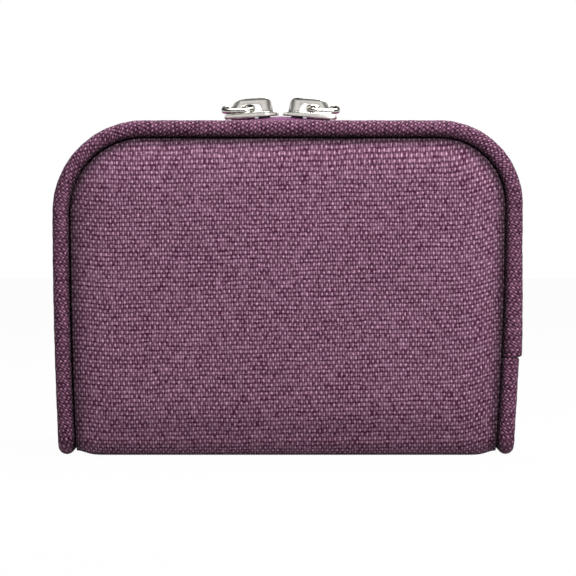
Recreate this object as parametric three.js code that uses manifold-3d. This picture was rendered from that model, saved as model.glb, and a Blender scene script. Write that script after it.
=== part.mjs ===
// Compact zip-around wallet of woven cloth, closed and standing on its flat spine.
// Millimetres. The front faces -Y, +X is to the right of a person who looks at it, +Z is up.
// The origin is on the ground, under the middle of the wallet.
import * as THREE from "three";
import { mergeVertices } from "three/addons/utils/BufferGeometryUtils.js";
import Module from "manifold-3d";

// Driving dimensions of the body
const bodyWidth = 118; // over the piping at its widest
const bodyHeight = 84.2; // from the ground to the top of the piping
const bodyThickness = 26; // over the crowned middles of the two panels
const leftCornerRadius = 23; // top corners, at the outside of the piping
const rightCornerRadius = 21;
const leftLean = 1.3; // how far each side runs in on its way down to the spine
const rightLean = 2;
const spineBend = 5; // outside radius of the fold between a panel and the spine

// Clearances
const layerGap = 0.3; // between two layers that are sewn or laid together
const slideGap = 0.3; // round a piece that slides

// Cover, padding and lining
const coverCloth = 0.8;
const grooveGap = 0.27; // between the piping and the cover's edge
const liningGap = 1.5; // from the piping to the lining's edge
const panelCrown = 0.8; // how far the middle of a panel stands out
const edgeRoll = 0.8; // how far a panel's edge rolls down into the groove by the piping
const rollReach = 1.3; // distance over which the roll fades
const paddingFoam = 2.5;
const paddingMargin = 0.5; // from the raw edge of the piping's flange to the foam
const liningCloth = 0.5;

// Piping
const pipingRadius = 2.1;
const pipingCloth = 0.45;
const flangeCloth = 0.3; // each of the two layers of the flange
const flangeSlit = 0.3; // between those two layers
const flangeLength = 3.6; // from the round of the piping to the flange's raw edge
const lapHeight = 24.8; // where the lapped end of the piping shows on the right side
const lapLength = 27; // over which the lap swells from nothing to its end
const lapRise = 0.75; // how far the lap stands out of the side
const cordEndGap = 0.8; // between the two ends of the filler cord
const cordEnds = lapHeight + lapLength / 4; // height of the place where they meet

// Zip
const tapeCloth = 0.5;
const tapeAllowance = 3.4; // width of tape that is sewn into the seam
const tapeFold = 0.8; // from the round of the piping in to the place where the tape turns out
const tapeTurnDepth = 1.75; // of the tape under the piping, inwards from the piping's middle
const tapeClimb = [
  { share: 0.45, depth: 1.5 }, // way from the turn up to the chain, and depth behind the turn
  { share: 0.85, depth: 3 },
];
const tapeCrestShare = 0.99; // of that way, at the chain's outer edge
const slotWidth = 1.1; // between the two halves of the chain
const coilWidth = 2.55; // of one half of the coil
const coilDepth = 1.2;
const chainSlope = THREE.MathUtils.degToRad(4.5); // fall of the chain on both sides of its peak
const chainPeakRise = 1.2; // of the tape over the top of the piping, where the sliders meet
const chainRun = 36; // straight run of the chain on each side of that place
const pairOffset = -1.75; // where the sliders meet, left of the middle
const coilEndHeight = 9.5; // lower ends of the chain
const stopLength = 3;

// Slider body, its window bail and its ring pull
const sliderLength = 13.8;
const noseGap = 0.45; // from the tip of a slider to the place where the two meet
const wingHalfWidth = 4.5; // outer wing, at its shoulders
const wingUnderside = 0.35; // over the outside of the tape
const wingPlate = 1.1;
const wingFlangeDrop = 0.25;
const wingFlange = 0.85;
const thickPartStart = 6.3; // from the tip to the part with side flanges
const wingTail = 0.8; // half width at the tail, as a share of that at the shoulders
const wingTip = 0.25; // half width at the tip, as such a share
const wingNose = 0.08; // handle of the curve from tip to shoulder, as a share of the length
const wingShoulder = 0.33; // place of the shoulder, as such a share
const innerWingHalfWidth = 3.9;
const innerWingPlate = 0.9;
const innerFlange = 0.45;
const innerFlangeRise = 1;
const postLength = 3;
const postStart = 2.2;
const bailStart = 1.4; // from the tip to the bail's foot
const bailLength = 10.9;
const bailHeight = 3.75; // over the outer wing
const bailWidth = 2.2;
const bailLeg = 2.7;
const bailTop = 1.4; // thickness over the window
const bailNose = { run: 0.7, drop: 0.6 }; // handles of the bail's front curve
const bailTail = { slope: 0.2, drop: 1.6 }; // handles of its back curve
const windowNose = { start: 1.8, run: 0.6, drop: 0.4 }; // front corner of the window
const windowTail = { start: 1.6, run: 0.5, drop: 0.6 }; // its back corner
const pullWire = 1.4; // diameter
const pullLength = 8.7; // outside
const pullWidth = 6.8; // outside
const pullCornerRadius = 2; // at the middle of the wire
const pullPivot = 6.5; // from the tip to the end of the pull that lies in the bail

// Pockets
const pocketCloth = 0.4;
const pocketMargin = 1.5; // from the edge of the lining to the edge of a pocket
const pocketCorner = 3;
const pocketFloorGap = 0.8; // from the lining on the spine to the pockets
const cardPocketHeights = { card_pocket_back: 56, card_pocket_middle: 48, card_pocket_front: 40 };
const notePocketHeight = 60;

// Fineness of the faces
const cornerSteps = 7;
const foldSteps = 4;
const pipingSides = 10;
const cordSides = 7;
const wireSides = 8;
const curveSteps = 5;
const edgeColumns = [0, 0.7, 1.6, 3.2, 9]; // distances of a sheet's columns from its side
const middleColumns = [0.3, 0.5, 0.7]; // shares of its width
const panelRowShares = [0.72, 0.45, 0.2, 0]; // of the straight side, from the fold up
const plainLevels = [26, 44]; // heights of the sections on the side without the lap

// Depths below the outside of the cover, where each layer starts
const seamDepth = edgeRoll + coverCloth + layerGap + flangeCloth + flangeSlit / 2;
const flangeHalf = flangeCloth + flangeSlit / 2;
const tapeDepth = seamDepth + flangeHalf + layerGap;
const liningDepth = tapeDepth + tapeCloth + layerGap;
const paddingDepth = liningDepth - layerGap - paddingFoam;
const panelFace = bodyThickness / 2 - panelCrown;
const seamPlane = panelFace - seamDepth; // distance of the piping's middle from the XZ plane
const liningFace = panelFace - liningDepth - liningCloth;
const foldCentre = panelFace - spineBend;
const pocketFloor = liningDepth + liningCloth + pocketFloorGap; // height of the pockets' lower edge

// Insets from the outside of the piping
const coverInset = 2 * pipingRadius + grooveGap;
const liningInset = 2 * pipingRadius + liningGap;
const paddingInset = 2 * pipingRadius + flangeLength + paddingMargin;

const sides = {
  left: { sign: -1, radius: leftCornerRadius, lean: leftLean },
  right: { sign: 1, radius: rightCornerRadius, lean: rightLean },
};

const materials = {
  cover: cloth(0x79506a, 0.85),
  piping: cloth(0x6c4860, 0.85),
  tape: cloth(0x895877, 0.8),
  lining: cloth(0x2c2630, 0.9),
  foam: cloth(0xd9d5cc, 0.95),
  cord: cloth(0xe6e1d6, 0.95),
  coil: new THREE.MeshStandardMaterial({ color: 0x6b3f60, roughness: 0.5, metalness: 0 }),
  metal: new THREE.MeshStandardMaterial({ color: 0xc9c4bb, roughness: 0.22, metalness: 1 }),
};

function cloth(color, roughness) {
  return new THREE.MeshStandardMaterial({ color, roughness, metalness: 0 });
}

const wasm = await Module();
wasm.setup();

// Turns a closed geometry into a solid for a boolean cut or join.
function solid(geometry) {
  const plain = geometry.index ? geometry.toNonIndexed() : geometry.clone();
  plain.deleteAttribute("normal");
  plain.deleteAttribute("uv");
  const merged = mergeVertices(plain, 1e-4);
  return new wasm.Manifold(
    new wasm.Mesh({
      numProp: 3,
      vertProperties: merged.attributes.position.array,
      triVerts: new Uint32Array(merged.index.array),
    }),
  );
}

// Turns a solid back into a geometry.
function fromSolid(made) {
  const mesh = made.getMesh();
  const geometry = new THREE.BufferGeometry();
  geometry.setAttribute("position", new THREE.BufferAttribute(mesh.vertProperties, mesh.numProp));
  geometry.setIndex(new THREE.BufferAttribute(mesh.triVerts, 1));
  geometry.computeVertexNormals();
  return geometry;
}

// Triangles that close a ring of points, running round in its order. The ring is convex, or it goes
// out along one face of a sheet and comes back along the other, so each point has one across from it.
function capFaces(count) {
  const faces = [];
  for (let first = 0, last = count - 1; last - first > 1; first++, last--) {
    faces.push([first, first + 1, last]);
    if (last - first > 2) faces.push([first + 1, last - 1, last]);
  }
  return faces;
}

// Skins a row of rings that all have the same number of points. A closed loft runs back into its
// first ring, and an open one has both ends capped.
function loft(rings, closed = false) {
  const count = rings[0].length;
  const index = [];
  const spans = closed ? rings.length : rings.length - 1;
  for (let i = 0; i < spans; i++) {
    const here = i * count;
    const next = ((i + 1) % rings.length) * count;
    for (let j = 0; j < count; j++) {
      const k = (j + 1) % count;
      index.push(here + j, next + j, next + k);
      index.push(here + j, next + k, here + k);
    }
  }
  if (!closed) {
    const end = (rings.length - 1) * count;
    capFaces(count).forEach(([a, b, c]) => index.push(a, b, c));
    capFaces(count).forEach(([a, b, c]) => index.push(end + a, end + c, end + b));
  }
  const points = rings.flat();
  if (signedVolume(points, index) < 0) index.reverse();
  const geometry = new THREE.BufferGeometry().setFromPoints(points);
  geometry.setIndex(index);
  geometry.computeVertexNormals();
  return geometry;
}

function signedVolume(points, index) {
  let six = 0;
  for (let i = 0; i < index.length; i += 3) {
    const [a, b, c] = [points[index[i]], points[index[i + 1]], points[index[i + 2]]];
    six += a.dot(new THREE.Vector3().crossVectors(b, c));
  }
  return six / 6;
}

// The outline of the wallet seen from the front: the half width at a height, drawn some way inside
// the piping. The top corner is an arc, and below it the side leans in as a parabola.
function halfWidthAt(side, height, inset) {
  const cornerHeight = bodyHeight - side.radius;
  const straight = bodyWidth / 2 - inset;
  if (height > cornerHeight) {
    const rise = Math.min(height - cornerHeight, side.radius - inset);
    return straight - (side.radius - inset) + Math.sqrt((side.radius - inset) ** 2 - rise ** 2);
  }
  const fall = (cornerHeight - Math.max(height, spineBend)) / (cornerHeight - spineBend);
  return straight - side.lean * fall ** 2;
}

// How far a point of a panel lies inside that outline.
function depthInside(x, height, inset) {
  const side = x < 0 ? sides.left : sides.right;
  const across = Math.abs(x) - (bodyWidth / 2 - side.radius);
  const up = height - (bodyHeight - side.radius);
  if (across > 0 && up > 0) return side.radius - inset - Math.hypot(across, up);
  return Math.min(halfWidthAt(side, height, inset) - Math.abs(x), bodyHeight - inset - height);
}

// Heights along a side at which the piping, the tape and the coil have a section.
function sideLevels(side) {
  const cornerHeight = bodyHeight - side.radius;
  if (side === sides.left) return [spineBend, coilEndHeight, ...plainLevels, cornerHeight];
  const step = cordEndGap / 2;
  return [
    spineBend,
    coilEndHeight,
    lapHeight - step,
    lapHeight + step,
    cordEnds - step,
    cordEnds + step,
    lapHeight + lapLength / 2,
    lapHeight + lapLength,
    cornerHeight,
  ];
}

// Stations up the left side, over the top and down the right side, at the middle of the piping.
function rimStations() {
  const up = (side) =>
    sideLevels(side).map((z) => ({
      x: side.sign * halfWidthAt(side, z, pipingRadius),
      z,
      out: [side.sign, 0],
    }));
  const corner = (side) =>
    Array.from({ length: cornerSteps }, (_, i) => {
      const angle = ((i + 1) / cornerSteps) * (Math.PI / 2);
      const radius = side.radius - pipingRadius;
      return {
        x: side.sign * (bodyWidth / 2 - side.radius + radius * Math.cos(angle)),
        z: bodyHeight - side.radius + radius * Math.sin(angle),
        out: [side.sign * Math.cos(angle), Math.sin(angle)],
      };
    });
  const topEnds = [pairOffset - chainRun / 2, pairOffset, pairOffset + chainRun / 2, pairOffset + chainRun];
  const top = topEnds.map((x) => ({ x, z: bodyHeight - pipingRadius, out: [0, 1] }));
  return [
    ...up(sides.left),
    ...corner(sides.left),
    ...top,
    ...corner(sides.right).reverse(),
    ...up(sides.right).reverse(),
  ];
}

// The same stations in space for the front (face -1) or the back (face 1) of the wallet.
function rimFrames(face) {
  return rimStations().map(({ x, z, out }) => ({
    at: new THREE.Vector3(x, face * seamPlane, z),
    out: new THREE.Vector3(out[0], 0, out[1]),
    face: new THREE.Vector3(0, face, 0),
  }));
}

// Stations where the piping runs round the end of the spine, from the front to the back.
function foldFrames(side) {
  const radius = spineBend - seamDepth;
  const x = side.sign * halfWidthAt(side, spineBend, pipingRadius);
  const quarter = (face) =>
    Array.from({ length: foldSteps }, (_, i) => {
      const angle = ((i + 1) / foldSteps) * (Math.PI / 2);
      const [along, down] = [Math.cos(angle), Math.sin(angle)];
      return {
        at: new THREE.Vector3(x, face * (foldCentre + radius * along), spineBend - radius * down),
        out: new THREE.Vector3(side.sign, 0, 0),
        face: new THREE.Vector3(0, face * along, -down),
      };
    });
  return [...quarter(-1), ...quarter(1).reverse()];
}

// The whole closed run of the piping, with the swelling of its lap at each station.
function pipingFrames() {
  const run = [
    ...rimFrames(-1),
    ...foldFrames(sides.right),
    ...rimFrames(1).reverse(),
    ...foldFrames(sides.left).reverse(),
  ];
  return run.map((frame) => {
    const above = (frame.at.z - lapHeight) / lapLength;
    const onLap = frame.at.x > 0 && frame.at.y < 0 && above > 0 && above < 1 && frame.at.z > spineBend;
    return { ...frame, swell: onLap ? 1 - above : 0 };
  });
}

// Places a flat section at a station: its first number runs outwards, its second to the face.
function placeSection(frame, section) {
  return section.map(([a, b]) =>
    frame.at.clone().addScaledVector(frame.out, a).addScaledVector(frame.face, b),
  );
}

// A keyhole section: cloth wrapped once round the cord, with its two edges laid together as a flange.
function pipingSection(swell) {
  const outer = pipingRadius + (lapRise / 2) * swell;
  const inner = pipingRadius - pipingCloth;
  const shift = (lapRise / 2) * swell;
  const arc = (radius, half, count) => {
    const start = Math.PI - Math.asin(half / radius);
    return Array.from({ length: count + 1 }, (_, i) => {
      const angle = start - (2 * start * i) / count;
      return [radius * Math.cos(angle), radius * Math.sin(angle)];
    });
  };
  const round = arc(outer, flangeHalf, pipingSides).map(([a, b]) => [a + shift, b]);
  const hollow = arc(inner, flangeSlit / 2, pipingSides - 2).reverse();
  const edge = -(pipingRadius + flangeLength);
  return [
    [edge, flangeHalf],
    ...round,
    [edge, -flangeHalf],
    [edge, -flangeSlit / 2],
    ...hollow,
    [edge, flangeSlit / 2],
  ];
}

function circleSection(radius, count) {
  return Array.from({ length: count }, (_, i) => {
    const angle = (2 * Math.PI * i) / count;
    return [radius * Math.cos(angle), radius * Math.sin(angle)];
  });
}

function pipingFabric() {
  return loft(pipingFrames().map((frame) => placeSection(frame, pipingSection(frame.swell))), true);
}

// The filler cord has two ends, which meet inside the lap.
function pipingCord() {
  const run = pipingFrames();
  const after = run.findIndex(
    (frame) => frame.swell > 0 && Math.abs(frame.at.z - (cordEnds - cordEndGap / 2)) < 1e-6,
  );
  const opened = [...run.slice(after), ...run.slice(0, after)];
  const radius = pipingRadius - pipingCloth - layerGap;
  return loft(opened.map((frame) => placeSection(frame, circleSection(radius, cordSides))));
}

// A sheet that lies on the front panel, round the spine and on the back panel. It is skinned over
// rows that run from its front top edge to its back top edge. The depth of each face below the
// outside of the cover is a function of the place.
function foldedSheet(inset, outerDepth, innerDepth) {
  const arcRadius = leftCornerRadius - inset;
  const cornerHeight = bodyHeight - leftCornerRadius;
  const cornerRows = Array.from({ length: cornerSteps + 1 }, (_, i) => {
    const angle = (Math.PI / 2) * (1 - i / cornerSteps);
    return { height: cornerHeight + arcRadius * Math.sin(angle), turn: 0 };
  });
  const panelRows = panelRowShares.map((part) => ({
    height: spineBend + part * (cornerHeight - spineBend),
    turn: 0,
  }));
  const foldRows = Array.from({ length: foldSteps }, (_, i) => ({
    height: spineBend,
    turn: ((i + 1) / foldSteps) * (Math.PI / 2),
  }));
  const half = [...cornerRows, ...panelRows, ...foldRows];
  const row = ({ height, turn }, face) => {
    const left = halfWidthAt(sides.left, height, inset);
    const right = halfWidthAt(sides.right, height, inset);
    const columns = [
      ...edgeColumns.map((step) => step - left),
      ...middleColumns.map((share) => -left + share * (left + right)),
      ...edgeColumns.map((step) => right - step).reverse(),
    ];
    const point = (x, depth) => {
      const radius = spineBend - depth;
      const y = face * (foldCentre + radius * Math.cos(turn));
      const z = turn > 0 ? spineBend - radius * Math.sin(turn) : height;
      return new THREE.Vector3(x, y, z);
    };
    const outer = columns.map((x) => point(x, outerDepth(x, height, turn)));
    const back = columns.map((x) => point(x, innerDepth(x, height, turn))).reverse();
    return [...outer, ...back];
  };
  return loft([...half.map((part) => row(part, -1)), ...[...half].reverse().map((part) => row(part, 1))]);
}

// Crown of a panel: full at its middle and nothing at its rim and at the fold.
function crownAt(x, height, turn) {
  if (turn > 0) return 0;
  const across = x / (bodyWidth / 2);
  const up = (2 * (height - spineBend)) / (bodyHeight - spineBend) - 1;
  return panelCrown * (1 - across ** 2) * Math.max(0, 1 - up ** 2);
}

function coverFabric() {
  const outer = (x, height, turn) => {
    const inside = Math.max(0, depthInside(x, height, coverInset));
    return edgeRoll * Math.exp(-((inside / rollReach) ** 2)) - crownAt(x, height, turn);
  };
  return foldedSheet(coverInset, outer, (x, height, turn) => outer(x, height, turn) + coverCloth);
}

function coverPadding() {
  const outer = (x, height, turn) => paddingDepth - crownAt(x, height, turn);
  return foldedSheet(paddingInset, outer, () => paddingDepth + paddingFoam);
}

function lining() {
  return foldedSheet(liningInset, () => liningDepth, () => liningDepth + liningCloth);
}

// Height of the tape at the middle of the zip, over the middle of the piping.
function chainRise(x) {
  const away = Math.min(Math.abs(x - pairOffset), chainRun);
  return pipingRadius + chainPeakRise - away * Math.tan(chainSlope);
}

// Half of the zip's tape: a seam allowance under the piping's flange, then a turn under the piping
// and a rise to the edge of the slot.
function tapeSection(rise) {
  const allowance = seamDepth - tapeDepth;
  const turnOut = -pipingRadius + layerGap;
  const slotEdge = slotWidth / 2 - seamPlane;
  const climb = rise - turnOut;
  const outer = [
    [-pipingRadius - layerGap - tapeAllowance, allowance],
    [-pipingRadius - tapeFold, allowance],
    [turnOut, -tapeTurnDepth],
    ...tapeClimb.map(({ share, depth }) => [turnOut + share * climb, -tapeTurnDepth - depth]),
    [turnOut + tapeCrestShare * climb, slotEdge + coilWidth],
    [rise, slotEdge],
  ];
  return [...outer, ...offsetLine(outer, tapeCloth).reverse()];
}

// The same open line, moved sideways by a distance.
function offsetLine(line, distance) {
  const points = line.map(([a, b]) => new THREE.Vector2(a, b));
  return points.map((point, i) => {
    const before = points[Math.max(i - 1, 0)];
    const after = points[Math.min(i + 1, points.length - 1)];
    const along = after.clone().sub(before).normalize();
    return [point.x + distance * along.y, point.y - distance * along.x];
  });
}

function zipTape(face) {
  return loft(rimFrames(face).map((frame) => placeSection(frame, tapeSection(chainRise(frame.at.x)))));
}

function zipCoil(face) {
  const slotEdge = slotWidth / 2 - seamPlane;
  const rows = rimFrames(face).filter((frame) => frame.at.z >= coilEndHeight);
  return loft(
    rows.map((frame) => {
      const top = chainRise(frame.at.x) - tapeCloth - layerGap;
      return placeSection(frame, [
        [top, slotEdge],
        [top, slotEdge + coilWidth],
        [top - coilDepth, slotEdge + coilWidth],
        [top - coilDepth, slotEdge],
      ]);
    }),
  );
}

function roundedRectangle(width, height, radius) {
  const [w, h] = [width / 2, height / 2];
  const shape = new THREE.Shape();
  shape.moveTo(-w + radius, -h);
  shape.lineTo(w - radius, -h);
  shape.absarc(w - radius, -h + radius, radius, -Math.PI / 2, 0);
  shape.lineTo(w, h - radius);
  shape.absarc(w - radius, h - radius, radius, 0, Math.PI / 2);
  shape.lineTo(-w + radius, h);
  shape.absarc(-w + radius, h - radius, radius, Math.PI / 2, Math.PI);
  shape.lineTo(-w, -h + radius);
  shape.absarc(-w + radius, -h + radius, radius, Math.PI, 1.5 * Math.PI);
  return shape;
}

function extrude(shape, depth) {
  return new THREE.ExtrudeGeometry(shape, { depth, bevelEnabled: false, curveSegments: curveSteps });
}

// A stop closes the chain at each lower end, in line with the coil.
function endStop(side) {
  const width = slotWidth + 2 * coilWidth;
  const geometry = extrude(roundedRectangle(width, stopLength, coilDepth / 2), coilDepth);
  geometry.rotateX(Math.PI / 2);
  geometry.rotateZ(-Math.PI / 2);
  const height = coilEndHeight - slideGap - stopLength / 2;
  const inner = chainRise(bodyWidth) - tapeCloth - layerGap - (side.sign > 0 ? 0 : coilDepth);
  const x = side.sign * halfWidthAt(side, height, pipingRadius) + side.sign * inner;
  geometry.translate(x, 0, height);
  return geometry;
}

// Slider, along +X from its tip to its tail. Z is 0 on the outside of the tape.
const wingTop = wingUnderside + wingPlate;
const innerWingTop = -tapeCloth - layerGap - coilDepth - slideGap;

function wingPlan(halfWidth, length) {
  const shape = new THREE.Shape();
  const tailHalf = wingTail * halfWidth;
  const tip = wingTip * halfWidth;
  shape.moveTo(0, -tip);
  shape.quadraticCurveTo(wingNose * length, -halfWidth, wingShoulder * length, -halfWidth);
  shape.lineTo(length - tip, -tailHalf);
  shape.quadraticCurveTo(length, -tailHalf, length, -tailHalf + tip);
  shape.lineTo(length, tailHalf - tip);
  shape.quadraticCurveTo(length, tailHalf, length - tip, tailHalf);
  shape.lineTo(wingShoulder * length, halfWidth);
  shape.quadraticCurveTo(wingNose * length, halfWidth, 0, tip);
  return shape;
}

// Side view of the outer wing: thin at the tip, with its flanges hanging under the tail half.
function wingProfile() {
  const shape = new THREE.Shape();
  const flangeBottom = wingUnderside - wingFlangeDrop;
  shape.moveTo(0, wingUnderside);
  shape.lineTo(thickPartStart - wingFlangeDrop, wingUnderside);
  shape.lineTo(thickPartStart, flangeBottom);
  shape.lineTo(sliderLength - wingPlate / 2, flangeBottom);
  shape.lineTo(sliderLength, flangeBottom + wingPlate / 2);
  shape.lineTo(sliderLength, wingTop - wingPlate / 3);
  shape.lineTo(sliderLength - wingPlate / 3, wingTop);
  shape.lineTo(2 * wingPlate, wingTop);
  shape.lineTo(0, wingUnderside + wingPlate / 2);
  return shape;
}

// Turns a shape drawn in X and Z into a solid of the given width along Y.
function acrossSolid(shape, width) {
  const geometry = extrude(shape, width);
  geometry.rotateX(Math.PI / 2);
  geometry.translate(0, width / 2, 0);
  return solid(geometry);
}

function boxSolid(low, high) {
  const size = high.map((value, i) => value - low[i]);
  const geometry = new THREE.BoxGeometry(...size);
  geometry.translate(...low.map((value, i) => value + size[i] / 2));
  return solid(geometry);
}

function outerWing() {
  const plan = solid(extrude(wingPlan(wingHalfWidth, sliderLength), 2 * wingTop));
  const profile = acrossSolid(wingProfile(), 3 * wingHalfWidth);
  const channelHalf = wingHalfWidth - wingFlange;
  const channel = boxSolid([0, -channelHalf, -wingPlate], [sliderLength + 1, channelHalf, wingUnderside]);
  return plan.intersect(profile).subtract(channel);
}

function innerWing() {
  const plate = extrude(wingPlan(innerWingHalfWidth, sliderLength), innerWingPlate + innerFlangeRise);
  plate.translate(0, 0, innerWingTop - innerWingPlate);
  const channelHalf = innerWingHalfWidth - innerFlange;
  const low = [-1, -channelHalf, innerWingTop];
  const channel = boxSolid(low, [sliderLength + 1, channelHalf, innerWingTop + 2 * innerFlangeRise]);
  const open = boxSolid(
    [-1, -2 * innerWingHalfWidth, innerWingTop],
    [thickPartStart, 2 * innerWingHalfWidth, innerWingTop + 2 * innerFlangeRise],
  );
  return solid(plate).subtract(channel).subtract(open);
}

function post() {
  const half = slotWidth / 2 - slideGap;
  return boxSolid(
    [postStart, -half, innerWingTop - innerWingPlate / 2],
    [postStart + postLength, half, wingUnderside + wingPlate / 2],
  );
}

// D-shaped bail, cast in one with the wing, with a window for the pull.
function bail() {
  const end = bailStart + bailLength;
  const crest = wingTop + bailHeight;
  const foot = wingTop - wingPlate / 2;
  const shape = new THREE.Shape();
  shape.moveTo(bailStart, foot);
  const shoulder = bailStart + bailLeg;
  shape.bezierCurveTo(bailStart, crest - bailNose.drop, bailStart + bailNose.run, crest, shoulder, crest);
  shape.lineTo(end - 1.5 * bailLeg, crest);
  const tail = [end - bailLeg / 2, crest - bailTail.slope, end, crest - bailTail.drop];
  shape.bezierCurveTo(...tail, end, foot);
  const window = new THREE.Path();
  const [left, right] = [bailStart + bailLeg, end - bailLeg];
  const soffit = crest - bailTop;
  window.moveTo(right, wingTop);
  const back = [right, soffit - windowTail.drop, right - windowTail.run, soffit];
  window.bezierCurveTo(...back, right - windowTail.start, soffit);
  window.lineTo(left + windowNose.start, soffit);
  window.bezierCurveTo(left + windowNose.run, soffit, left, soffit - windowNose.drop, left, wingTop);
  shape.holes.push(window);
  return acrossSolid(shape, bailWidth);
}

function sliderGeometry() {
  return fromSolid(outerWing().add(innerWing()).add(post()).add(bail()));
}

// Ring pull: round wire bent to a rounded rectangle. Its inner end lies at the origin, and it runs
// out along +X.
function pullGeometry() {
  const length = pullLength - pullWire;
  const width = pullWidth - pullWire;
  const loop = roundedRectangle(length, width, pullCornerRadius).getPoints(curveSteps);
  loop.pop();
  const frames = loop.map((point, i) => {
    const before = loop.at(i - 1);
    const after = loop[(i + 1) % loop.length];
    const out = new THREE.Vector3(after.y - before.y, before.x - after.x, 0).normalize();
    const at = new THREE.Vector3(point.x + length / 2, point.y, 0);
    return { at, out, face: new THREE.Vector3(0, 0, 1) };
  });
  return loft(frames.map((frame) => placeSection(frame, circleSection(pullWire / 2, wireSides))), true);
}

// One slider with its pull, in a group that looks to the right or to the left.
function sliderSet(side, name) {
  const body = new THREE.Mesh(sliderGeometry(), materials.metal);
  body.name = "slider_" + name;
  const pull = new THREE.Mesh(pullGeometry(), materials.metal);
  pull.name = "pull_" + name;
  const lift = (bailHeight - bailTop - pullWire) / 2;
  const pivotHeight = wingTop + lift + pullWire / 2;
  const restHeight = wingTop + slideGap + pullWire / 2;
  pull.position.set(pullPivot, 0, pivotHeight);
  pull.rotation.y = Math.atan((pivotHeight - restHeight) / (pullLength - pullWire));
  const sloped = new THREE.Group();
  sloped.add(body, pull);
  sloped.rotation.y = chainSlope;
  sloped.position.set(noseGap, 0, -noseGap * Math.tan(chainSlope));
  const turned = new THREE.Group();
  turned.add(sloped);
  turned.rotation.z = side.sign > 0 ? 0 : Math.PI;
  turned.position.set(pairOffset, 0, bodyHeight + chainPeakRise);
  return turned;
}

// A pocket is one flat piece of lining cloth that covers the lower part of a panel's inside.
function pocket(height, face, depth) {
  const inset = liningInset + pocketMargin;
  const left = halfWidthAt(sides.left, pocketFloor, inset);
  const right = halfWidthAt(sides.right, pocketFloor, inset);
  const geometry = extrude(roundedRectangle(left + right, height, pocketCorner), pocketCloth);
  geometry.rotateX(Math.PI / 2);
  const outside = liningFace - depth;
  const y = face > 0 ? outside : -outside + pocketCloth;
  geometry.translate((right - left) / 2, y, pocketFloor + height / 2);
  return geometry;
}

function named(name, geometry, material) {
  const mesh = new THREE.Mesh(geometry, material);
  mesh.name = name;
  return mesh;
}

const wallet = new THREE.Group();
wallet.add(
  named("cover_fabric", coverFabric(), materials.cover),
  named("cover_padding", coverPadding(), materials.foam),
  named("lining", lining(), materials.lining),
  named("piping_fabric", pipingFabric(), materials.piping),
  named("piping_cord", pipingCord(), materials.cord),
  named("zip_tape_front", zipTape(-1), materials.tape),
  named("zip_tape_back", zipTape(1), materials.tape),
  named("zip_coil_front", zipCoil(-1), materials.coil),
  named("zip_coil_back", zipCoil(1), materials.coil),
  named("zip_stop_left", endStop(sides.left), materials.metal),
  named("zip_stop_right", endStop(sides.right), materials.metal),
);
Object.entries(cardPocketHeights).forEach(([name, height], i) => {
  const depth = layerGap + i * (pocketCloth + layerGap);
  wallet.add(named(name, pocket(height, -1, depth), materials.lining));
});
wallet.add(named("note_pocket", pocket(notePocketHeight, 1, layerGap), materials.lining));
wallet.add(sliderSet(sides.left, "left"), sliderSet(sides.right, "right"));

export default wallet;
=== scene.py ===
"""Looks of a compact zip-around wallet of woven cloth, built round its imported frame. Metres, Z up."""

import math

import bmesh
import bpy
import numpy as np
from bpy.props import FloatProperty, FloatVectorProperty, PointerProperty
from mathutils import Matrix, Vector


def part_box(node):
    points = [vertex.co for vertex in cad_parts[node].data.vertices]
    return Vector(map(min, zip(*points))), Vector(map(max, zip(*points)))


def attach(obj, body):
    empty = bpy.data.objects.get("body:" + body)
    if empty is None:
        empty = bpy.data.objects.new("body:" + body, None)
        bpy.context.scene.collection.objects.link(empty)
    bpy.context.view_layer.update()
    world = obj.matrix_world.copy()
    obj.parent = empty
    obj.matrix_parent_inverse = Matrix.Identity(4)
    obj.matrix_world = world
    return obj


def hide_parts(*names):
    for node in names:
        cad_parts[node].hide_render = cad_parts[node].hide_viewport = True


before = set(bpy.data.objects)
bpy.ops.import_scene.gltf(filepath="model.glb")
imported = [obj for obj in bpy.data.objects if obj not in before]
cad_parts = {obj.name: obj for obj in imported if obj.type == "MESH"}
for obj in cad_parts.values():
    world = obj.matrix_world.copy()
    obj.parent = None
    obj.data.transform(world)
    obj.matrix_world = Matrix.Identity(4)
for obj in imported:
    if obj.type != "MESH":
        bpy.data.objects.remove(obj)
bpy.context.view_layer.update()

bl_info = {
    "name": "Zip-around wallet",
    "version": (1, 0, 0),
    "blender": (4, 5, 0),
    "location": "3D View > Sidebar > Wallet",
    "description": "Builds the cloth, piping, zip and metal of a compact wallet round its frame",
    "category": "Add Mesh",
}

MM = 0.001
BODY = "wallet"
RIM_STEP = 0.9 * MM  # between sections of the piping and of the tape
FOLD_STEPS = 10  # sections in a quarter of the fold round the spine
LAP_LEVELS = (-0.6, -0.35, -0.2, -0.08, 0.02, 0.08, 0.2, 0.4, 0.7)  # extra ones at the lap, mm
PAINTED_SEAM_SHADE = 0.75  # share of its lightness that cloth loses to painted shade where it lies in a seam

COVER_ROWS = 120  # down one panel
COVER_COLUMNS = 150
ROW_CROWDING = 1.6  # over 1, rows lie closer together by the top seam
COLUMN_CROWDING = 0.55  # over 0, columns lie closer together by the side seams
FOLD_REACH = 1.6  # of the pillow's rounding by the fold, in pillow reaches
WAVE_RISE = 0.07 * MM
WAVE_CALM = 9 * MM  # from the seam, over which the waves fade
PUCKER_RISE = 0.035 * MM
PUCKER_PLACE = 2.2 * MM  # from the seam
PUCKER_REACH = 1.6 * MM
PUCKER_TURNS = 74  # pucker waves a radian, seen from the centre below
PUCKER_CENTRE = 30 * MM  # above the ground

PIPING_COLUMNS = 28
LAP_TURN = 0.7 * MM  # height of the rounded end of the lap
CREASE_DEPTH = 0.3 * MM
CREASE_DROP = 0.08 * MM  # from the lap's end down to the crease
CREASE_REACH = 0.2 * MM

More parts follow.
